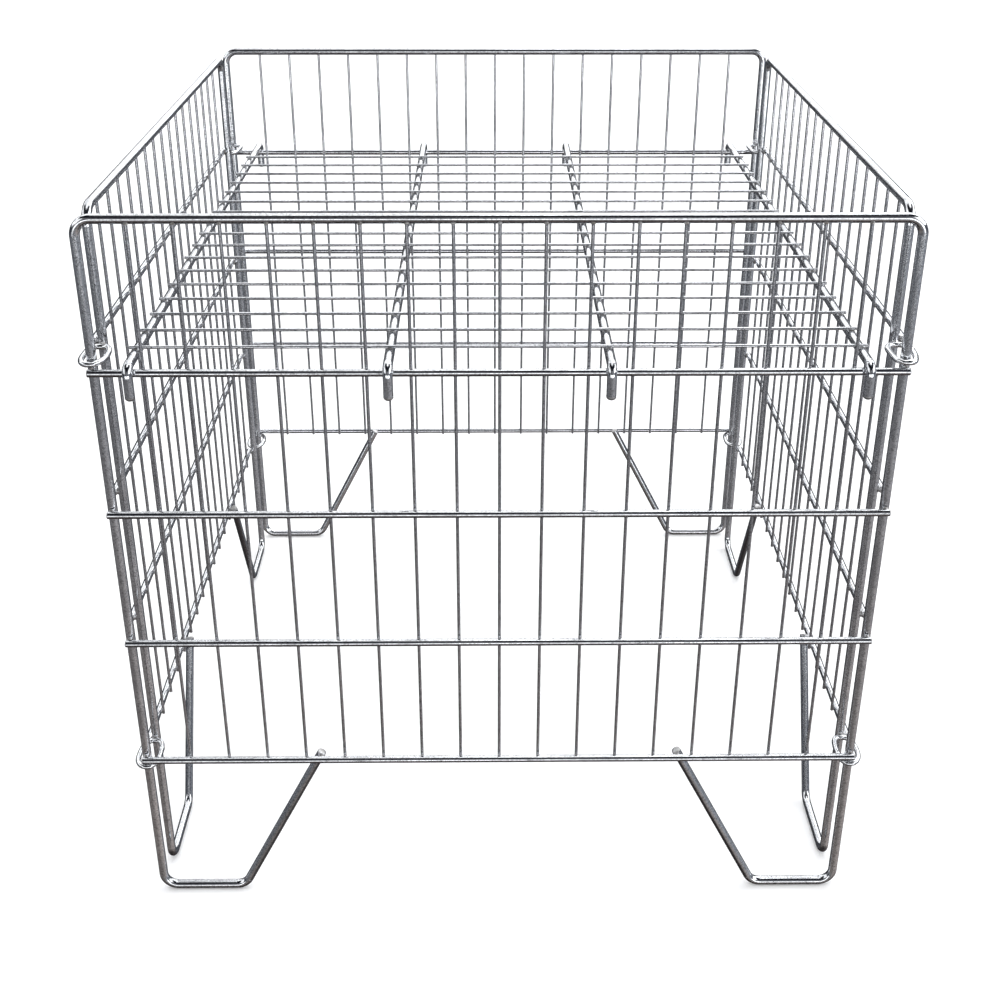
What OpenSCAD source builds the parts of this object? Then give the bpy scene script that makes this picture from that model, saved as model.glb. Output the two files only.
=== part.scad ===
// Folding wire mesh container: four mesh panels linked by wire rings, with a hook-in shelf.
// Millimetres, +Z up. The origin is on the floor at the middle of the container.
// The front faces -Y. A panel is drawn on the XZ plane with its outside towards -Y,
// then turned into its place.

/* [Container] */
// Distance between the leg axes of the front panel, and of the back panel
width = 800; // [600:10:1000]
// Distance between the front panel's plane and the back panel's plane
depth = 800; // [600:10:1000]
// Height of the top rod's axis on the front and back panels
top_height = 837; // [820:1:900]
// How far the top rod of a side panel sits below that of the front panel
side_top_drop = 3; // [0:1:8]
// Distance from a corner leg to the side panel's leg beside it
side_inset = 42; // [38:1:50]

/* [Rods and wires] */
// Diameter of the bent frame rods
frame_d = 10; // [8:0.5:11]
// Diameter of the horizontal bars
bar_d = 8; // [6:0.5:8]
// Diameter of the thin mesh wires
wire_d = 3.5; // [2.5:0.25:4]
// Diameter of the ring wire
ring_d = 6; // [5:0.5:6]
// Diameter of the shelf's long rods
shelf_rod_d = 10; // [8:0.5:10]
// Radius of every bend in the frame rods, to the rod's axis
bend_r = 17; // [14:1:24]

/* [Mesh] */
// Height of the lowest bar on the front and back panels
low_bar_height = 200.5; // [190:0.5:205]
// Distance between one bar and the next
bar_pitch = 160.5; // [155:0.5:163]
// How much higher a side panel's top bar sits than the front panel's
side_top_bar_rise = 14; // [10:1:16]
// How much lower a side panel's lowest bar sits than the front panel's
side_low_bar_drop = 11.5; // [8:0.5:13]
// Upright wires in the front panel, and in the back panel
front_wires_n = 17; // [11:2:19]
// Upright wires in each side panel
side_wires_n = 16; // [10:2:18]
// Distance from a leg to the first upright wire
wire_margin = 50; // [40:1:60]
// How far a bar runs on past the leg's axis
bar_overhang = 3; // [0:0.5:6]

/* [Feet] */
// Length of the foot runner, from the leg's axis to the foot of the brace
foot_run = 97; // [80:1:110]
// Height of the brace's upper end above the lowest bar
brace_tip_rise = 3; // [1:1:12]
// Angle between the brace and the floor, in degrees
brace_angle = 63; // [60:0.5:70]

/* [Shelf] */
// Distance of the inner shelf rods from the middle
inner_rod_x = 109.375; // [105:0.625:115]
// Distance of the outer shelf rods from the middle
outer_rod_x = 362; // [358:1:366]
// Number of cross wires on the shelf
cross_wires_n = 17; // [9:1:17]
// Distance between one cross wire and the next
cross_pitch = 44; // [40:0.5:45]
// Distance from the front panel's plane to the first cross wire
first_cross = 19; // [18:1:40]
// How far a hook's tip hangs below the axis of its bar
hook_drop = 24.5; // [15:0.5:35]

/* [Hidden] */

$fn = 32;
// Depth that one welded rod sinks into the next
weld = 0.3;
// Free gap between a shelf hook and the bar that it hangs on
hook_gap = 0.3;
// How far a straight stretch of a bent rod laps into its bends, and how much thicker they are
lap = 0.5;
bend_extra = 0.1;

// Bar heights, from the top bar down
front_levels = [for (i = [3:-1:0]) low_bar_height + i * bar_pitch];
side_levels = [
    front_levels[0] + side_top_bar_rise,
    front_levels[1],
    front_levels[2],
    front_levels[3] - side_low_bar_drop
];

// Leg axis to leg axis across a side panel
side_span = depth - 2 * side_inset;
side_top = top_height - side_top_drop;

// Distances outwards from the plane of the legs, to the bars' axes and the upright wires' axes
bar_out = frame_d / 2 + bar_d / 2 - weld;
wire_out = bar_out - bar_d / 2 - wire_d / 2 + weld;
// Depth that an upright wire runs into the underside of the top rod
wire_top_sink = 1.5;
// Height of a wire's lower end above the underside of the lowest bar
wire_foot = 1;

// A ring is a closed oval round the corner leg, and its far end is welded to the side panel's leg.
// These are the axis of its wire: half its width, and its two ends from the corner leg's axis.
ring_half_w = 12;
ring_front = -10.5;
ring_back = side_inset - frame_d / 2 - ring_d / 2 + weld;
upper_ring_z = 692.5;
lower_ring_z = 193;

// A shelf rod lies over the top bars and bends round them
hook_r = bar_d / 2 + (shelf_rod_d + bend_extra) / 2 + hook_gap;
shelf_rod_z = front_levels[0] + hook_r;
hook_y = depth / 2 + bar_out + hook_r;
cross_z = shelf_rod_z + shelf_rod_d / 2 + wire_d / 2 - weld;
// Height and end diameter of the small cone that rounds off a hook's tip
tip_h = 2.5;
tip_d = 6;
// Straight part of a hook, between its bend and its tip
hook_straight = hook_drop - tip_h;

steel = "silver";

// A bend through an angle, from heading +Z towards +X
module elbow(angle, r, d) {
    translate([r, 0, 0])
        rotate([90, 0, 180])
            rotate_extrude(angle = angle)
                translate([r, 0])
                    circle(d = d + bend_extra);
}

// A straight stretch along +Z whose ends lap into the bends before and after it
module straight(length, d) {
    translate([0, 0, -lap])
        cylinder(h = length + 2 * lap, d = d);
}

// A rod that sets off along +Z: each entry of turns is a bend's angle and the straight after it.
// Children are drawn at the rod's end.
module bent_tail(turns, r, d, i = 0) {
    if (i < len(turns)) {
        elbow(turns[i][0], r, d);
        translate([r, 0, 0])
            rotate([0, turns[i][0], 0])
                translate([-r, 0, 0]) {
                    straight(turns[i][1], d);
                    translate([0, 0, turns[i][1]])
                        bent_tail(turns, r, d, i + 1)
                            children();
                }
    } else {
        children();
    }
}

// A level rod of the given length, centred on X, whose two ends bend away alike
module bent_rod(length, turns, r, d) {
    translate([-length / 2, 0, 0])
        rotate([0, 90, 0])
            straight(length, d);
    for (m = [0, 1])
        mirror([m, 0, 0])
            translate([length / 2, 0, 0])
                rotate([0, 90, 0])
                    bent_tail(turns, r, d)
                        children();
}

// One rod forms a panel's top, both legs, both foot runners and both braces
module frame_rod(span, top, low_bar) {
    floor_z = (frame_d + bend_extra) / 2;
    brace_rise = low_bar + brace_tip_rise - floor_z;
    corner_cut = bend_r * tan(brace_angle / 2);
    turns = [
        [90, top - floor_z - 2 * bend_r],
        [90, foot_run - bend_r - corner_cut],
        [brace_angle, brace_rise / sin(brace_angle) - corner_cut]
    ];
    color(steel)
        translate([0, 0, top])
            bent_rod(span - 2 * bend_r, turns, bend_r, frame_d);
}

// One horizontal bar, welded across the outside of the legs
module bar(span, z) {
    length = span + 2 * bar_overhang;
    color(steel)
        translate([-length / 2, -bar_out, z])
            rotate([0, 90, 0])
                cylinder(h = length, d = bar_d);
}

// The upright wires, each a separate piece, on the inside of the bars
module upright_wires(span, n, top, low_bar) {
    pitch = (span - 2 * wire_margin) / (n - 1);
    bottom_z = low_bar - bar_d / 2 + wire_foot;
    top_z = top - frame_d / 2 + wire_top_sink;
    color(steel)
        for (i = [0:n - 1])
            translate([wire_margin - span / 2 + i * pitch, -wire_out, bottom_z])
                cylinder(h = top_z - bottom_z, d = wire_d);
}

// A closed oval ring round a corner leg, at [0, 0], that runs back to the side panel's leg
module ring(z) {
    front_y = ring_front + ring_half_w;
    back_y = ring_back - ring_half_w;
    color(steel)
        translate([0, 0, z]) {
            for (s = [-1, 1])
                translate([s * ring_half_w, front_y, 0])
                    rotate([-90, 0, 0])
                        cylinder(h = back_y - front_y, d = ring_d);
            translate([0, front_y, 0])
                rotate([0, 0, 180])
                    ring_end();
            translate([0, back_y, 0])
                ring_end();
        }
}

module ring_end() {
    rotate_extrude(angle = 180)
        translate([ring_half_w, 0])
            circle(d = ring_d);
}

// Places: each turns a front-facing drawing to its side of the container
module at_front() {
    translate([0, -depth / 2, 0]) children();
}

module at_back() {
    rotate([0, 0, 180]) at_front() children();
}

module at_left() {
    translate([-width / 2, 0, 0]) rotate([0, 0, -90]) children();
}

module at_right() {
    translate([width / 2, 0, 0]) rotate([0, 0, 90]) children();
}

module at_corner(x_side, back) {
    translate([x_side * width / 2, (back ? 1 : -1) * depth / 2, 0])
        rotate([0, 0, back ? 180 : 0])
            children();
}

module front_frame_rod() { at_front() frame_rod(width, top_height, front_levels[3]); }
module front_bar(i) { at_front() bar(width, front_levels[i - 1]); }
module front_wires() { at_front() upright_wires(width, front_wires_n, top_height, front_levels[3]); }

module back_frame_rod() { at_back() frame_rod(width, top_height, front_levels[3]); }
module back_bar(i) { at_back() bar(width, front_levels[i - 1]); }
module back_wires() { at_back() upright_wires(width, front_wires_n, top_height, front_levels[3]); }

module left_frame_rod() { at_left() frame_rod(side_span, side_top, side_levels[3]); }
module left_bar(i) { at_left() bar(side_span, side_levels[i - 1]); }
module left_wires() { at_left() upright_wires(side_span, side_wires_n, side_top, side_levels[3]); }

module right_frame_rod() { at_right() frame_rod(side_span, side_top, side_levels[3]); }
module right_bar(i) { at_right() bar(side_span, side_levels[i - 1]); }
module right_wires() { at_right() upright_wires(side_span, side_wires_n, side_top, side_levels[3]); }

// A shelf rod is straight from panel to panel and hooks down outside both
module shelf_rod(x) {
    color(steel)
        translate([x, 0, shelf_rod_z])
            rotate([0, 0, 90])
                bent_rod(2 * (hook_y - hook_r), [[90, hook_straight]], hook_r, shelf_rod_d)
                    cylinder(h = tip_h, d1 = shelf_rod_d, d2 = tip_d);
}

// The cross wires, each a separate piece, lie on top of all four shelf rods
module shelf_cross_wires() {
    length = 2 * outer_rod_x + shelf_rod_d;
    color(steel)
        for (i = [0:cross_wires_n - 1])
            translate([-length / 2, -depth / 2 + first_cross + i * cross_pitch, cross_z])
                rotate([0, 90, 0])
                    cylinder(h = length, d = wire_d);
}

front_frame_rod();
front_bar(1);  // front_bar_1
front_bar(2);  // front_bar_2
front_bar(3);  // front_bar_3
front_bar(4);  // front_bar_4
front_wires();
back_frame_rod();
back_bar(1);  // back_bar_1
back_bar(2);  // back_bar_2
back_bar(3);  // back_bar_3
back_bar(4);  // back_bar_4
back_wires();
left_frame_rod();
left_bar(1);  // left_bar_1
left_bar(2);  // left_bar_2
left_bar(3);  // left_bar_3
left_bar(4);  // left_bar_4
left_wires();
at_corner(-1, false) ring(upper_ring_z);  // left_front_upper_ring
at_corner(-1, false) ring(lower_ring_z);  // left_front_lower_ring
at_corner(-1, true) ring(upper_ring_z);  // left_back_upper_ring
at_corner(-1, true) ring(lower_ring_z);  // left_back_lower_ring
right_frame_rod();
right_bar(1);  // right_bar_1
right_bar(2);  // right_bar_2
right_bar(3);  // right_bar_3
right_bar(4);  // right_bar_4
right_wires();
at_corner(1, false) ring(upper_ring_z);  // right_front_upper_ring
at_corner(1, false) ring(lower_ring_z);  // right_front_lower_ring
at_corner(1, true) ring(upper_ring_z);  // right_back_upper_ring
at_corner(1, true) ring(lower_ring_z);  // right_back_lower_ring
shelf_rod(-outer_rod_x);  // shelf_rod_1
shelf_rod(-inner_rod_x);  // shelf_rod_2
shelf_rod(inner_rod_x);  // shelf_rod_3
shelf_rod(outer_rod_x);  // shelf_rod_4
shelf_cross_wires();
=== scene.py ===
"""Looks of the wire mesh container: plated steel, welds, cut ends, hand-bent rings, stage and camera.

Everything is in metres, in the CAD model's own frame: +Z is up, the front faces -Y, and the origin is on
the floor in the middle.
"""

import math
import random

import bmesh
import bpy
from mathutils import Matrix, Vector, noise


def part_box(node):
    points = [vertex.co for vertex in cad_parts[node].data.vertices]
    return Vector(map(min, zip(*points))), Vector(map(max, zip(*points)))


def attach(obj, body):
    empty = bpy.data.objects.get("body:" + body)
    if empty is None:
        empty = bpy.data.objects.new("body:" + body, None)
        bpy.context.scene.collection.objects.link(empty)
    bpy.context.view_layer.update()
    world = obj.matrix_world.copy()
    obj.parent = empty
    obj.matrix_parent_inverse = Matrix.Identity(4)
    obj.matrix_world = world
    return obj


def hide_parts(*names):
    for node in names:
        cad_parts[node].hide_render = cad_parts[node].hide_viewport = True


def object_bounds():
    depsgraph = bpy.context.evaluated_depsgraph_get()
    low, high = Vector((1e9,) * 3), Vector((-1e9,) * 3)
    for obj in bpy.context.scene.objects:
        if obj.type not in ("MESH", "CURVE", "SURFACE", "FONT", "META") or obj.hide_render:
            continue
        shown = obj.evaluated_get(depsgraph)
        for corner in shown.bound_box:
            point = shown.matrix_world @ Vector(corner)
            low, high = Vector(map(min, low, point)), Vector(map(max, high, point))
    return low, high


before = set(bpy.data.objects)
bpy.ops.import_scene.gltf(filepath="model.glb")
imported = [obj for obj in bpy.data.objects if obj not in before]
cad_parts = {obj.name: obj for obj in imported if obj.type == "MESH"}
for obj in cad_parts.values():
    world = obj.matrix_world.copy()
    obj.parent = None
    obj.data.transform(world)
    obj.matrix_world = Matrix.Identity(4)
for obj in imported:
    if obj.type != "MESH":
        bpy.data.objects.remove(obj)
cad_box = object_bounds()

MM = 0.001
X = Vector((1, 0, 0))
Y = Vector((0, 1, 0))
Z = Vector((0, 0, 1))

PANELS = ("front", "back", "left", "right")
SIDE_PANELS = ("left", "right")
BARS = (1, 2, 3, 4)
LOWEST_BAR = 4
FRONT_WIRES = 17
SIDE_WIRES = 16
CROSS_WIRES = 17
SHELF_RODS = (1, 2, 3, 4)


# ---------------------------------------------------------------- materials

def link(tree, source, target):
    tree.links.new(source, target)


def node(tree, kind, **values):
    """A new shader node. A value goes to the input of that name, or else to the node's own property."""
    made = tree.nodes.new(kind)
    for key, value in values.items():
        socket = made.inputs.get(key.replace("_", " "))
        if socket is not None:
            socket.default_value = value
        else:
            setattr(made, key, value)
    return made


def spread(tree, source, low, high, to_low, to_high):
    """Stretches a value from the range low to high to the range to_low to to_high, clamped."""
    made = node(tree, "ShaderNodeMapRange", From_Min=low, From_Max=high, To_Min=to_low, To_Max=to_high)
    link(tree, source, made.inputs["Value"])
    return made.outputs["Result"]


def math_node(tree, operation, a, b):
    made = node(tree, "ShaderNodeMath", operation=operation)
    for socket, value in zip(made.inputs, (a, b)):
        if isinstance(value, (int, float)):
            socket.default_value = value
        else:
            link(tree, value, socket)
    return made.outputs["Value"]


def mix_color(tree, factor, a, b):
    made = tree.nodes.new("ShaderNodeMix")
    made.data_type = "RGBA"
    link(tree, factor, made.inputs["Factor"])
    for name, value in (("A", a), ("B", b)):
        socket = [s for s in made.inputs if s.name == name and s.type == "RGBA"][0]
        if isinstance(value, tuple):
            socket.default_value = (*value, 1)
        else:
            link(tree, value, socket)
    return [s for s in made.outputs if s.type == "RGBA"][0]


def noise_at(tree, place, scale, detail, roughness):
    made = node(tree, "ShaderNodeTexNoise", Scale=scale, Detail=detail, Roughness=roughness)
    link(tree, place, made.inputs["Vector"])
    return made.outputs["Fac"]


# The noises of the plating: cells per metre, detail and roughness
CLOUDS = (26.0, 4.0, 0.6)
MOTTLING = (520.0, 3.0, 0.65)
DRAWING_LINES = (2600.0, 1.0, 0.5)
SOOT = (160.0, 4.0, 0.7)
SCRATCHES = (340.0, 5.0, 0.75)

# Between which values of its noise each effect comes in
PATCHES_IN = (0.38, 0.64)
SPECKLES_IN = (0.46, 0.68)
ROUGHNESS_IN = (0.35, 0.68)
STREAKS_IN = (0.3, 0.7)
STAINS_IN = (0.42, 0.62)
SCRATCHES_IN = (0.35, 0.6)

SPECKLE_DEPTH = 0.62
SPECKLE_SHARE = 0.8
STREAK_ROUGHNESS = (-0.04, 0.07)
SOOT_COLOR = (0.16, 0.13, 0.10)
SOOT_ROUGHNESS = 0.25
WORN_COLOR = (0.24, 0.23, 0.22)
WORN_ROUGHNESS = 0.3
WORN_SHARE = (0.2, 1.0)
# Heights above the floor between which the wear fades out
WORN_FULLY = 0.5 * MM
WORN_UP_TO = 7 * MM
RELIEF_STRENGTH = 0.22
RELIEF_DEPTH = 0.12 * MM
LINE_RELIEF = 0.5


def plated_steel(name, bright, dull, rough, grain=(1, 1, 1), grime=0.0, scuffed_feet=False):
    """Zinc-plated drawn wire: cloudy patches, fine mottling, and drawing lines that run along the wire.

    bright and dull are the plating's two tones and rough is its lowest and highest roughness. grain scales
    the drawing lines along each axis: a small value stretches them into long lines along that axis.
    """
    material = bpy.data.materials.new(name)
    material.use_nodes = True
    tree = material.node_tree
    shader = tree.nodes["Principled BSDF"]
    shader.inputs["Metallic"].default_value = 1.0
    place = tree.nodes.new("ShaderNodeTexCoord").outputs["Object"]

    cloud = noise_at(tree, place, *CLOUDS)
    mottle = noise_at(tree, place, *MOTTLING)
    stretch = node(tree, "ShaderNodeMapping")
    stretch.inputs["Scale"].default_value = grain
    link(tree, place, stretch.inputs["Vector"])
    lines = noise_at(tree, stretch.outputs["Vector"], *DRAWING_LINES)

    patches = spread(tree, cloud, *PATCHES_IN, 0.0, 1.0)
    color = mix_color(tree, patches, bright, dull)
    speckle = spread(tree, mottle, *SPECKLES_IN, 0.0, SPECKLE_SHARE)
    color = mix_color(tree, speckle, color, tuple(SPECKLE_DEPTH * c for c in dull))

    roughness = spread(tree, cloud, *ROUGHNESS_IN, *rough)
    streaks = spread(tree, lines, *STREAKS_IN, *STREAK_ROUGHNESS)
    roughness = math_node(tree, "ADD", roughness, streaks)

    if grime:
        soot = noise_at(tree, place, *SOOT)
        stain = spread(tree, soot, *STAINS_IN, 0.0, grime)
        color = mix_color(tree, stain, color, SOOT_COLOR)
        roughness = math_node(tree, "ADD", roughness, math_node(tree, "MULTIPLY", stain, SOOT_ROUGHNESS))

    if scuffed_feet:
        height = node(tree, "ShaderNodeSeparateXYZ")
        link(tree, place, height.inputs["Vector"])
        scratches = noise_at(tree, place, *SCRATCHES)
        low = spread(tree, height.outputs["Z"], WORN_FULLY, WORN_UP_TO, 1.0, 0.0)
        worn = math_node(tree, "MULTIPLY", low, spread(tree, scratches, *SCRATCHES_IN, *WORN_SHARE))
        color = mix_color(tree, worn, color, WORN_COLOR)
        roughness = math_node(tree, "ADD", roughness, math_node(tree, "MULTIPLY", worn, WORN_ROUGHNESS))

    link(tree, color, shader.inputs["Base Color"])
    link(tree, roughness, shader.inputs["Roughness"])

    relief = math_node(tree, "ADD", math_node(tree, "MULTIPLY", lines, LINE_RELIEF), mottle)
    bump = node(tree, "ShaderNodeBump", Strength=RELIEF_STRENGTH, Distance=RELIEF_DEPTH)
    link(tree, relief, bump.inputs["Height"])
    link(tree, bump.outputs["Normal"], shader.inputs["Normal"])
    return material


BRIGHT = (0.80, 0.81, 0.83)
DULL = (0.60, 0.61, 0.63)
ALONG = 0.02
ALONG_X = (ALONG, 1, 1)
ALONG_Y = (1, ALONG, 1)
ALONG_Z = (1, 1, ALONG)

steel = {
    "frame": plated_steel("frame_rod_steel", BRIGHT, DULL, (0.07, 0.18), scuffed_feet=True),
    "bar_x": plated_steel("bar_steel_along_x", BRIGHT, DULL, (0.05, 0.14), ALONG_X),
    "bar_y": plated_steel("bar_steel_along_y", BRIGHT, DULL, (0.05, 0.14), ALONG_Y),
    # Painted shade: the upright wires are the same plated wire as the rest, but get darker tones (DULL and
    # a deeper grey) to look as dark as their reflections make them look
    "wire_z": plated_steel("upright_wire_steel_painted_shade", DULL, (0.44, 0.44, 0.46), (0.12, 0.24), ALONG_Z),
    "wire_x": plated_steel("cross_wire_steel", BRIGHT, DULL, (0.08, 0.18), ALONG_X),
    "rod_y": plated_steel("shelf_rod_steel", BRIGHT, DULL, (0.05, 0.15), ALONG_Y),
    "ring": plated_steel("ring_steel", (0.84, 0.85, 0.86), BRIGHT, (0.05, 0.14)),
    "weld": plated_steel("weld_steel", (0.72, 0.72, 0.73), (0.46, 0.45, 0.44), (0.24, 0.42), grime=0.55),
    "cut": plated_steel("cut_end_steel", (0.66, 0.66, 0.67), (0.48, 0.48, 0.48), (0.22, 0.40), grime=0.3),
}


def coat(cad_node, material):
    """Gives a CAD node its material."""
    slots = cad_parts[cad_node].data.materials
    slots.clear()
    slots.append(material)


def coat_cad_nodes():
    for panel in PANELS:
        along = "bar_y" if panel in SIDE_PANELS else "bar_x"
        coat(f"{panel}_frame_rod", steel["frame"])
        coat(f"{panel}_wires", steel["wire_z"])
        for i in BARS:
            coat(f"{panel}_bar_{i}", steel[along])
    for i in SHELF_RODS:
        coat(f"shelf_rod_{i}", steel["rod_y"])
    coat("shelf_cross_wires", steel["wire_x"])


# ---------------------------------------------------------------- places

def middle(cad_node):
    low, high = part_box(cad_node)
    return (low + high) / 2


def evenly(low, high, count):
    return [low + (high - low) * i / (count - 1) for i in range(count)]


def panel_axes(panel):
    """Along the panel, and outwards from it."""
    outward = {"front": -Y, "back": Y, "left": -X, "right": X}[panel]
    along = Y if panel in SIDE_PANELS else X
    return along, outward


def index_along(panel):
    """The index of the panel's own axis in a vector. The level axis across the panel is 1 minus it."""
    return 1 if panel in SIDE_PANELS else 0


def upright_places(cad_node, panel, count):
    """The axes of evenly spaced upright wires or legs, as points at height 0, and their radius."""
    axis = index_along(panel)
    across = 1 - axis
    low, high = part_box(cad_node)
    r = (high - low)[across] / 2
    places = []
    for at in evenly(low[axis] + r, high[axis] - r, count):
        place = Vector((0, 0, 0))
        place[axis] = at
        place[across] = (low[across] + high[across]) / 2
        places.append(place)
    return places, r


def wire_places(panel):
    return upright_places(f"{panel}_wires", panel, SIDE_WIRES if panel in SIDE_PANELS else FRONT_WIRES)


def leg_places(panel):
    return upright_places(f"{panel}_frame_rod", panel, 2)


# ---------------------------------------------------------------- pieces

SHARP = math.radians(50)


def add_piece(name, bm, body, material):
    """Makes a smooth-shaded object of a finished bmesh, and lets it ride on a body."""
    mesh = bpy.data.meshes.new(name)
    bmesh.ops.recalc_face_normals(bm, faces=bm.faces)
    bm.to_mesh(mesh)
    bm.free()
    for face in mesh.polygons:
        face.use_smooth = True
    mesh.set_sharp_from_angle(angle=SHARP)
    mesh.materials.append(material)
    piece = bpy.data.objects.new(name, mesh)
    bpy.context.scene.collection.objects.link(piece)
    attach(piece, body)
    return piece


def turned_to(direction):
    """A rotation that turns +Z to a direction."""
    return direction.to_track_quat("Z", "Y").to_matrix().to_4x4()


# How uneven a nugget's skin is, in lumps of two sizes. PLACE_SCALE gives each nugget lumps of its own
LUMPS = 0.22
RING_LUMPS = 0.35
LUMP_SCALE = 1.7
SMALL_LUMP_SCALE = 2.9
SMALL_LUMP_SHARE = 0.4
PLACE_SCALE = 900


def add_nugget(bm, centre, size, fine=2, lumps=LUMPS):
    """A weld nugget: a lump with an uneven skin, size being its half-extents along X, Y and Z."""
    made = bmesh.ops.create_icosphere(bm, subdivisions=fine, radius=1.0)["verts"]
    for vert in made:
        point = vert.co.copy()
        seed = point * LUMP_SCALE + centre * PLACE_SCALE
        small = SMALL_LUMP_SHARE * lumps * noise.noise(seed * SMALL_LUMP_SCALE)
        swell = 1 + lumps * noise.noise(seed) + small
        vert.co = centre + Vector((point[i] * size[i] * swell for i in range(3)))


# A sheared end's outline from the wire's side to its middle: share of the radius, share of the height
CAP_PROFILE = ((1.005, -0.05), (1.0, 0.02), (0.97, 0.45), (0.86, 0.80), (0.55, 0.96), (0.25, 1.0))
CAP_SIDES = 24
CAP_HEIGHT = 0.28
# The round end of a shelf hook: its width as a share of the rod's, and how far inside the rod it starts, as
# a share of its height
DOME_STEPS = 9
DOME_WIDTH = 1.004
DOME_SUNK = -0.3
# From the hook's lowest point up to its end, and the height of the dome
HOOK_TIP = 2.5 * MM
HOOK_DOME = 3.6 * MM


def add_cut_end(bm, centre, direction, radius, height=None, profile=CAP_PROFILE):
    """The end of a sheared wire: a low dome with a rounded rim that sits on the wire's flat end."""
    height = CAP_HEIGHT * radius if height is None else height
    place = Matrix.Translation(centre) @ turned_to(direction)
    rings = []
    for width, rise in profile:
        ring = []
        for i in range(CAP_SIDES):
            turn = 2 * math.pi * i / CAP_SIDES
            across = Vector((math.cos(turn), math.sin(turn), 0)) * width * radius
            ring.append(bm.verts.new(place @ (across + Z * rise * height)))
        rings.append(ring)
    for lower, upper in zip(rings, rings[1:]):
        for i in range(CAP_SIDES):
            j = (i + 1) % CAP_SIDES
            bm.faces.new((lower[i], lower[j], upper[j], upper[i]))
    bm.faces.new(rings[-1])
    bm.faces.new(list(reversed(rings[0])))


def dome_profile():
    """A round end as wide as the rod, from just inside the rod's side to the tip."""
    turns = [math.radians(90 * i / DOME_STEPS) for i in range(DOME_STEPS)]
    return [(DOME_WIDTH, DOME_SUNK)] + [(DOME_WIDTH * math.cos(turn), math.sin(turn)) for turn in turns]


# Half-extents of the weld nuggets: along the panel, across it and upwards
WIRE_WELD = (2.5 * MM, 1.0 * MM, 3.3 * MM)
LEG_WELD = (3.4 * MM, 1.9 * MM, 4.3 * MM)
TOP_WELD = (2.4 * MM, 2.1 * MM, 1.7 * MM)
BRACE_WELD = (4.2 * MM, 1.8 * MM, 3.6 * MM)
# Half-extents of the ring and shelf welds along X, Y and Z
RING_WELD = (3.6 * MM, 2.4 * MM, 3.4 * MM)
SHELF_WELD = (3.4 * MM, 2.5 * MM, 0.9 * MM)
# How far below the top rod's axis the wires' top welds are, as a share of the rod's radius
TOP_WELD_DROP = 0.78
# Where the braces' ends are: within these shares of the panel's half-width and of the whole height
BRACE_WITHIN = 0.6
BRACE_BELOW = 0.5
# How far below a brace's highest point its flat end may reach
BRACE_RIM = 6 * MM


def oriented(size, along):
    """size is given along the panel, across it and upwards; returned along X, Y and Z."""
    a, b, c = size
    return (a, b, c) if along == X else (b, a, c)


def add_panel_welds(panel):
    along, outward = panel_axes(panel)
    wires, wire_r = wire_places(panel)
    legs, leg_r = leg_places(panel)
    top_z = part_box(f"{panel}_frame_rod")[1].z - leg_r
    bm = bmesh.new()
    for i in BARS:
        bar = middle(f"{panel}_bar_{i}")
        for wire in wires:
            contact = wire + outward * wire_r
            contact.z = bar.z
            add_nugget(bm, contact, oriented(WIRE_WELD, along))
        for leg in legs:
            contact = leg + outward * leg_r
            contact.z = bar.z
            add_nugget(bm, contact, oriented(LEG_WELD, along), fine=3)
    for wire in wires:
        contact = wire.copy()
        contact.z = top_z - TOP_WELD_DROP * leg_r
        add_nugget(bm, contact, oriented(TOP_WELD, along))
    for tip, _ in brace_ends(panel):
        contact = tip + outward * leg_r
        contact.z = middle(f"{panel}_bar_{LOWEST_BAR}").z
        add_nugget(bm, contact, oriented(BRACE_WELD, along), fine=3)
    if panel in SIDE_PANELS:
        for ring in ring_names(panel):
            add_nugget(bm, ring_weld(ring, legs), RING_WELD, fine=3, lumps=RING_LUMPS)
    add_piece(f"{panel}_welds", bm, f"{panel}_panel", steel["weld"])


def brace_ends(panel):
    """The middle of each brace's flat end and the way it points, from the frame rod's own rim points."""
    axis = index_along(panel)
    inner = BRACE_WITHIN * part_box(f"{panel}_frame_rod")[1][axis]
    ceiling = BRACE_BELOW * cad_box[1][2]
    rod = [v.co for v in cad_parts[f"{panel}_frame_rod"].data.vertices]
    ends = []
    for side in (-1, 1):
        brace = [p for p in rod if 0 < p[axis] * side < inner and p.z < ceiling]
        highest = max(brace, key=lambda p: p.z)
        rim = [p for p in brace if highest.z - p.z < BRACE_RIM]
        lowest = min(rim, key=lambda p: p.z)
        centre = (highest + lowest) / 2
        sideways = max(rim, key=lambda p: abs(p[1 - axis] - centre[1 - axis]))
        direction = (highest - centre).cross(sideways - centre).normalized()
        ends.append((centre, direction if direction.z > 0 else -direction))
    return ends


def add_panel_cut_ends(panel):
    along, _ = panel_axes(panel)
    axis = index_along(panel)
    wires, wire_r = wire_places(panel)
    _, leg_r = leg_places(panel)
    bm = bmesh.new()
    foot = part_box(f"{panel}_wires")[0].z
    for wire in wires:
        end = wire.copy()
        end.z = foot
        add_cut_end(bm, end, -Z, wire_r)
    for i in BARS:
        low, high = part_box(f"{panel}_bar_{i}")
        bar_r = (high.z - low.z) / 2
        for at, direction in ((low, -along), (high, along)):
            end = (low + high) / 2
            end[axis] = at[axis]
            add_cut_end(bm, end, direction, bar_r)
    for tip, direction in brace_ends(panel):
        add_cut_end(bm, tip, direction, leg_r)
    add_piece(f"{panel}_cut_ends", bm, f"{panel}_panel", steel["cut"])


def cross_wire_places():
    """Each cross wire's place along Y, their common height and their radius."""
    low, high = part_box("shelf_cross_wires")
    r = (high.z - low.z) / 2
    return evenly(low.y + r, high.y - r, CROSS_WIRES), (low.z + high.z) / 2, r


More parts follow.
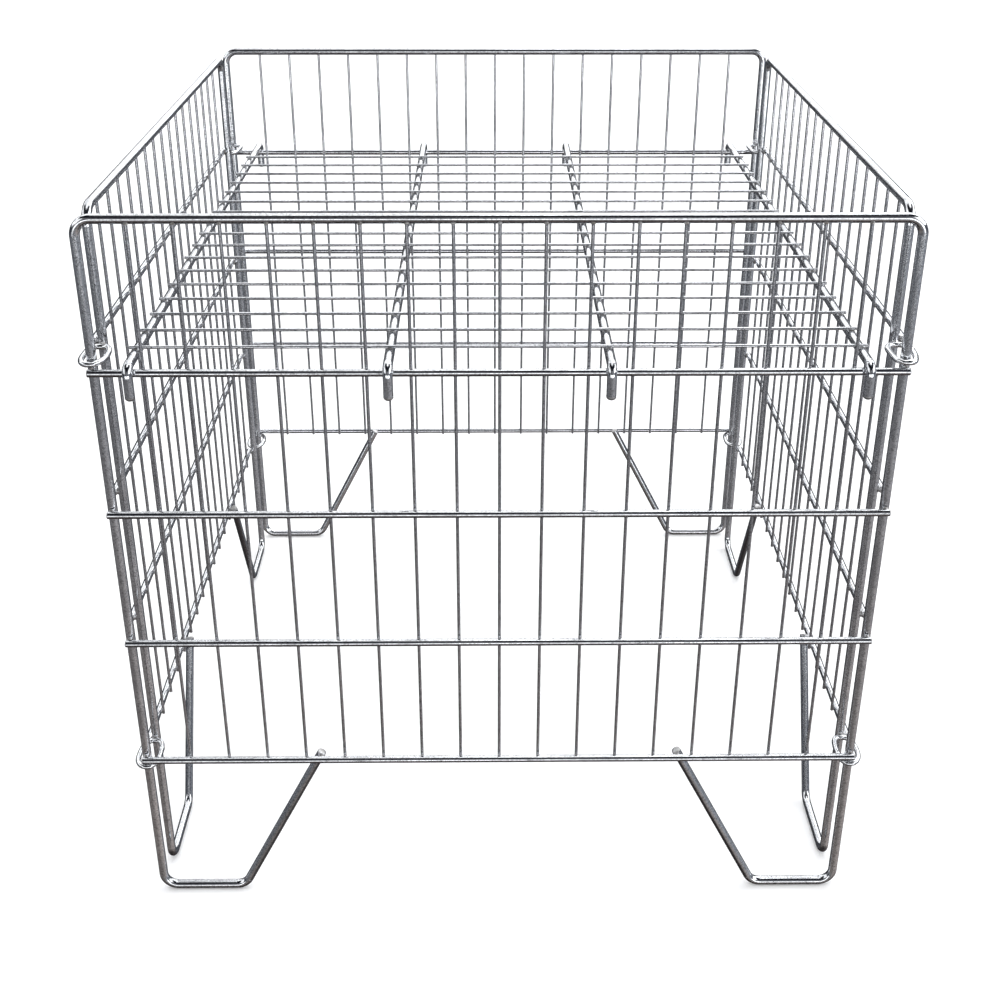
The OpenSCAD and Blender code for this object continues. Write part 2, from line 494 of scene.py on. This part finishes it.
def add_shelf_details():
    places, height, wire_r = cross_wire_places()
    welds = bmesh.new()
    ends = bmesh.new()
    low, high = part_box("shelf_cross_wires")
    for y in places:
        for i in SHELF_RODS:
            contact = Vector((middle(f"shelf_rod_{i}").x, y, height - wire_r))
            add_nugget(welds, contact, SHELF_WELD)
        add_cut_end(ends, Vector((low.x, y, height)), -X, wire_r)
        add_cut_end(ends, Vector((high.x, y, height)), X, wire_r)
    for i in SHELF_RODS:
        low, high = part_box(f"shelf_rod_{i}")
        rod_r = (high.x - low.x) / 2
        for y in (low.y + rod_r, high.y - rod_r):
            tip = Vector(((low.x + high.x) / 2, y, low.z + HOOK_TIP))
            add_cut_end(ends, tip, -Z, rod_r, HOOK_DOME, dome_profile())
    add_piece("shelf_welds", welds, "shelf", steel["weld"])
    add_piece("shelf_cut_ends", ends, "shelf", steel["cut"])


# ---------------------------------------------------------------- rings

RING_STEPS = 120
RING_SIDES = 20
RING_SQUARENESS = 2.5
# How a hand-bent ring differs from the regular oval
INWARDS = 0.25 * MM
THREE_BULGES = 0.35 * MM
FIVE_BULGES = 0.2 * MM
LEAN = 0.25 * MM
WARP = 0.18 * MM
# The butt weld on a long side: how much it widens the wire, its reach, and its distance from the middle of
# the side, the last two in steps
BEAD = 0.16
BEAD_REACH = 1.6
SEAM_WANDER = 6
# How much the wire's thickness varies, and the cells per metre of the noise that it follows
WIRE_WANDER = 0.012
WANDER_SCALE = 700
RING_SEED = 8


def ring_names(panel):
    return [f"{panel}_{end}_{level}_ring" for end in ("front", "back") for level in ("upper", "lower")]


def ring_weld(ring, legs):
    """Where a ring meets the side panel's leg."""
    low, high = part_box(ring)
    centre = (low + high) / 2
    leg = min(legs, key=lambda p: abs(p.y - centre.y))
    inner = low.y if abs(low.y) < abs(high.y) else high.y
    return Vector((leg.x, inner, centre.z))


def oval_point(centre, half, turn):
    """A point of a squarish oval."""
    power = 2 / RING_SQUARENESS
    c = math.cos(turn)
    s = math.sin(turn)
    x = half.x * math.copysign(abs(c) ** power, c)
    y = half.y * math.copysign(abs(s) ** power, s)
    return centre + Vector((x, y, 0))


def ring_path(ring, rng):
    """The wire's axis: an oval bent by hand, so it bulges unevenly and isn't quite flat."""
    low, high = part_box(ring)
    wire_r = (high.z - low.z) / 2
    centre = (low + high) / 2
    half = (high - low) / 2 - Vector((wire_r, wire_r, 0))
    phase = rng.uniform(0, 2 * math.pi)
    lean = rng.uniform(-LEAN, LEAN)
    path = []
    for i in range(RING_STEPS):
        turn = 2 * math.pi * i / RING_STEPS
        point = oval_point(centre, half, turn)
        bulge = THREE_BULGES * math.sin(3 * turn + phase) + FIVE_BULGES * math.sin(5 * turn + 2 * phase)
        point += (point - centre).normalized() * (bulge - INWARDS)
        point.z += lean * math.cos(turn) + WARP * math.sin(2 * turn + phase)
        path.append(point)
    return path, wire_r


def sweep_closed(bm, path, radius, sides, swell):
    """A tube along a closed path that is nearly level. swell(i) widens it at step i."""
    rings = []
    count = len(path)
    for i, point in enumerate(path):
        forward = (path[(i + 1) % count] - path[i - 1]).normalized()
        outward = forward.cross(Z).normalized()
        upward = outward.cross(forward)
        r = radius * swell(i)
        ring = []
        for j in range(sides):
            turn = 2 * math.pi * j / sides
            ring.append(bm.verts.new(point + (outward * math.cos(turn) + upward * math.sin(turn)) * r))
        rings.append(ring)
    for i in range(count):
        lower = rings[i]
        upper = rings[(i + 1) % count]
        for j in range(sides):
            k = (j + 1) % sides
            bm.faces.new((lower[j], lower[k], upper[k], upper[j]))


def add_bent_ring(ring, panel, rng):
    """One corner ring, with the swelling where its two ends are butt-welded."""
    path, wire_r = ring_path(ring, rng)
    half_way = RING_STEPS // 2
    seam = rng.choice((0, half_way)) + rng.randint(-SEAM_WANDER, SEAM_WANDER)

    def swell(i):
        gap = abs((i - seam + half_way) % RING_STEPS - half_way)
        bead = BEAD * math.exp(-(gap / BEAD_REACH) ** 2)
        return 1 + bead + WIRE_WANDER * noise.noise(path[i] * WANDER_SCALE)

    bm = bmesh.new()
    sweep_closed(bm, path, wire_r, RING_SIDES, swell)
    piece = add_piece(f"{ring}_bent", bm, f"{panel}_panel", steel["ring"])
    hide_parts(ring)


def add_rings():
    rng = random.Random(RING_SEED)
    for panel in SIDE_PANELS:
        for ring in ring_names(panel):
            add_bent_ring(ring, panel, rng)


# ---------------------------------------------------------------- stage, light, camera

FLOOR_RADIUS = 11.0
COVE_RADIUS = 3.0
COVE_STEPS = 12
WALL_HEIGHT = 7.0
ROUND_STEPS = 96
PAPER = (0.90, 0.90, 0.90)
PAPER_ROUGHNESS = 0.9
PAPER_GLOW = 0.12
WALL_GLOW = 0.75
# Between these heights the floor's glow grows to the wall's
GLOW_FROM = 0.05
GLOW_TO = 2.5


def paper_material():
    """Pale matt paper. It glows more up the wall, so that the wall is as light as the floor."""
    material = bpy.data.materials.new("pale_paper")
    material.use_nodes = True
    tree = material.node_tree
    shader = tree.nodes["Principled BSDF"]
    shader.inputs["Base Color"].default_value = (*PAPER, 1)
    shader.inputs["Roughness"].default_value = PAPER_ROUGHNESS
    shader.inputs["Specular IOR Level"].default_value = 0.0
    shader.inputs["Emission Color"].default_value = (1, 1, 1, 1)
    height = tree.nodes.new("ShaderNodeSeparateXYZ")
    link(tree, tree.nodes.new("ShaderNodeTexCoord").outputs["Object"], height.inputs["Vector"])
    glow = spread(tree, height.outputs["Z"], GLOW_FROM, GLOW_TO, PAPER_GLOW, PAPER_GLOW + WALL_GLOW)
    link(tree, glow, shader.inputs["Emission Strength"])
    return material


def add_paper_sweep():
    """A round floor that curves up into a wall all round. The metal doesn't reflect it."""
    profile = [(0.0, 0.0), (0.5 * FLOOR_RADIUS, 0.0), (FLOOR_RADIUS, 0.0)]
    for i in range(1, COVE_STEPS + 1):
        turn = math.radians(90 * i / COVE_STEPS)
        profile.append((FLOOR_RADIUS + COVE_RADIUS * math.sin(turn), COVE_RADIUS * (1 - math.cos(turn))))
    profile.append((FLOOR_RADIUS + COVE_RADIUS, WALL_HEIGHT))
    bm = bmesh.new()
    points = [bm.verts.new((r, 0, z)) for r, z in profile]
    edges = [bm.edges.new(pair) for pair in zip(points, points[1:])]
    bmesh.ops.spin(bm, geom=points + edges, axis=Z, cent=(0, 0, 0), steps=ROUND_STEPS, angle=2 * math.pi)
    bmesh.ops.remove_doubles(bm, verts=bm.verts, dist=0.5 * MM)
    mesh = bpy.data.meshes.new("paper_sweep")
    bm.to_mesh(mesh)
    bm.free()
    for face in mesh.polygons:
        face.use_smooth = True
    mesh.materials.append(paper_material())
    sweep = bpy.data.objects.new("paper_sweep", mesh)
    bpy.context.scene.collection.objects.link(sweep)
    sweep.visible_glossy = False
    sweep.visible_diffuse = False
    sweep.visible_shadow = False


# What the plating reflects: a room of white screens with dark gaps between them, over a grey floor that is
# bluish far off and brownish near by. Each list goes by the sine of the elevation, from -1 to 1
FLOOR_NEAR = (0.250, 0.222, 0.210)
FLOOR_FAR = (0.195, 0.208, 0.230)
FLOOR_UNDER = (0.040, 0.035, 0.035)
FAR_SIDE = (0.075, 0.078, 0.088)
WHITE = (1.75, 1.77, 1.80)
STRIP = (2.60, 2.62, 2.66)
LOW_SCREEN = (0.16, 0.165, 0.18)
HIGH_SCREEN = (0.20, 0.205, 0.22)
DIM = (0.060, 0.065, 0.080)
BLACK = (0.012, 0.013, 0.018)
BACK_ROOM = (
    (-1.00, FLOOR_UNDER),
    (-0.86, FLOOR_UNDER),
    (-0.70, FAR_SIDE),
    (0.05, FAR_SIDE),
    (0.11, WHITE),
    (1.00, WHITE),
)
BACK_CORNER = (
    (-1.00, FLOOR_UNDER),
    (-0.86, FLOOR_UNDER),
    (-0.70, FAR_SIDE),
    (0.30, FAR_SIDE),
    (0.36, WHITE),
    (1.00, WHITE),
)
SIDE_ROOM = (
    (-1.00, FLOOR_UNDER),
    (-0.86, FLOOR_UNDER),
    (-0.70, FLOOR_NEAR),
    (-0.30, FLOOR_FAR),
    (-0.08, DIM),
    (0.14, DIM),
    (0.18, WHITE),
    (0.58, WHITE),
    (0.64, BLACK),
    (0.95, BLACK),
    (0.98, WHITE),
    (1.00, WHITE),
)
FRONT_ROOM = (
    (-1.00, FLOOR_UNDER),
    (-0.86, FLOOR_UNDER),
    (-0.70, FLOOR_NEAR),
    (-0.27, FLOOR_FAR),
    (-0.23, STRIP),
    (-0.04, STRIP),
    (0.00, LOW_SCREEN),
    (0.48, HIGH_SCREEN),
    (0.60, BLACK),
    (0.95, BLACK),
    (0.98, WHITE),
    (1.00, WHITE),
)

# Where the parts of the room change over, by how far a level direction points to the back or to a side
BACK_FROM = (0.35, 0.50)
FRONT_FROM = (-0.80, -0.65)
CORNER_FROM = (0.31, 0.37)
# The room gets lighter from left to right
LEFT_END = -0.3
RIGHT_END = 0.8
LEFT_LIGHT = 0.82
RIGHT_LIGHT = 1.7
# Keeps the level part of a direction above 0 where it points straight up or down
LEAST_LEVEL = 0.001


def ramp(tree, source, stops):
    """A colour ramp over -1 to 1, starting at -1. Colours above 1 are kept in range by a common scale."""
    top = max(max(color) for _, color in stops)

    def in_range(color):
        return (*(c / top for c in color), 1)

    made = tree.nodes.new("ShaderNodeValToRGB")
    elements = made.color_ramp.elements
    elements.remove(elements[-1])
    elements[0].color = in_range(stops[0][1])
    for at, color in stops[1:]:
        elements.new((at + 1) / 2).color = in_range(color)
    link(tree, spread(tree, source, -1.0, 1.0, 0.0, 1.0), made.inputs["Fac"])
    scaled = node(tree, "ShaderNodeVectorMath", operation="SCALE")
    scaled.inputs["Scale"].default_value = top
    link(tree, made.outputs["Color"], scaled.inputs[0])
    return scaled.outputs["Vector"]


def add_room():
    """The room that the plating reflects and that lights the paper softly."""
    world = bpy.data.worlds.new("studio_room")
    bpy.context.scene.world = world
    world.use_nodes = True
    tree = world.node_tree
    background = tree.nodes["Background"]
    place = tree.nodes.new("ShaderNodeTexCoord").outputs["Generated"]
    parts = tree.nodes.new("ShaderNodeSeparateXYZ")
    link(tree, place, parts.inputs["Vector"])
    square = math_node(tree, "MULTIPLY", parts.outputs["Z"], parts.outputs["Z"])
    level = math_node(tree, "SQRT", math_node(tree, "SUBTRACT", 1.0, square), 0.0)
    level = math_node(tree, "MAXIMUM", level, LEAST_LEVEL)
    facing = math_node(tree, "DIVIDE", parts.outputs["Y"], level)
    rightward = math_node(tree, "DIVIDE", parts.outputs["X"], level)
    sine = parts.outputs["Z"]
    sideways = math_node(tree, "ABSOLUTE", rightward, 0.0)
    back = spread(tree, facing, *BACK_FROM, 0.0, 1.0)
    front = spread(tree, facing, *FRONT_FROM, 1.0, 0.0)
    corner = spread(tree, sideways, *CORNER_FROM, 0.0, 1.0)
    backdrop = mix_color(tree, corner, ramp(tree, sine, BACK_ROOM), ramp(tree, sine, BACK_CORNER))
    color = mix_color(tree, back, ramp(tree, sine, SIDE_ROOM), backdrop)
    color = mix_color(tree, front, color, ramp(tree, sine, FRONT_ROOM))
    light = spread(tree, rightward, LEFT_END, RIGHT_END, LEFT_LIGHT, RIGHT_LIGHT)
    lit = node(tree, "ShaderNodeVectorMath", operation="SCALE")
    link(tree, color, lit.inputs[0])
    link(tree, light, lit.inputs["Scale"])
    link(tree, lit.outputs["Vector"], background.inputs["Color"])


SUN_ENERGY = 1.1
SUN_WIDTH = 60
SUN_TILT_X = 12
SUN_TILT_Y = -10


def add_sun():
    """Broad, soft light from above that evens out the paper and leaves faint contact shadows."""
    light = bpy.data.lights.new("overhead", "SUN")
    light.energy = SUN_ENERGY
    light.angle = math.radians(SUN_WIDTH)
    sun = bpy.data.objects.new("overhead", light)
    sun.rotation_euler = (math.radians(SUN_TILT_X), math.radians(SUN_TILT_Y), 0)
    bpy.context.scene.collection.objects.link(sun)
    sun.visible_glossy = False


def set_plain_colours():
    """Plain sRGB, as in a catalogue picture: the paper is white, and thin wires keep their width on it."""
    bpy.context.scene.view_settings.view_transform = "Standard"


# Angles are in degrees, the lens and the sensor in millimetres, the shift in widths of the frame
CAMERA_AT = (-0.012, -1.588, 1.221)
CAMERA_DOWN = 24.89
CAMERA_RIGHT = 0.59
CAMERA_ROLL = 0.10
LENS = 47.6
SENSOR = 36.0
SHIFT_Y = -0.12


def rotation(degrees, axis):
    return Matrix.Rotation(math.radians(degrees), 4, axis)


def add_camera():
    """Close in front of the container and above its rim. The shift keeps the uprights nearer to upright."""
    data = bpy.data.cameras.new("camera")
    data.lens = LENS
    data.sensor_width = SENSOR
    data.shift_y = SHIFT_Y
    camera = bpy.data.objects.new("camera", data)
    look = rotation(-CAMERA_RIGHT, "Z") @ rotation(90 - CAMERA_DOWN, "X") @ rotation(CAMERA_ROLL, "Z")
    camera.matrix_world = Matrix.Translation(CAMERA_AT) @ look
    bpy.context.scene.collection.objects.link(camera)
    bpy.context.scene.camera = camera


coat_cad_nodes()
for panel in PANELS:
    add_panel_welds(panel)
    add_panel_cut_ends(panel)
add_shelf_details()
add_rings()
add_paper_sweep()
add_room()
add_sun()
set_plain_colours()
add_camera()
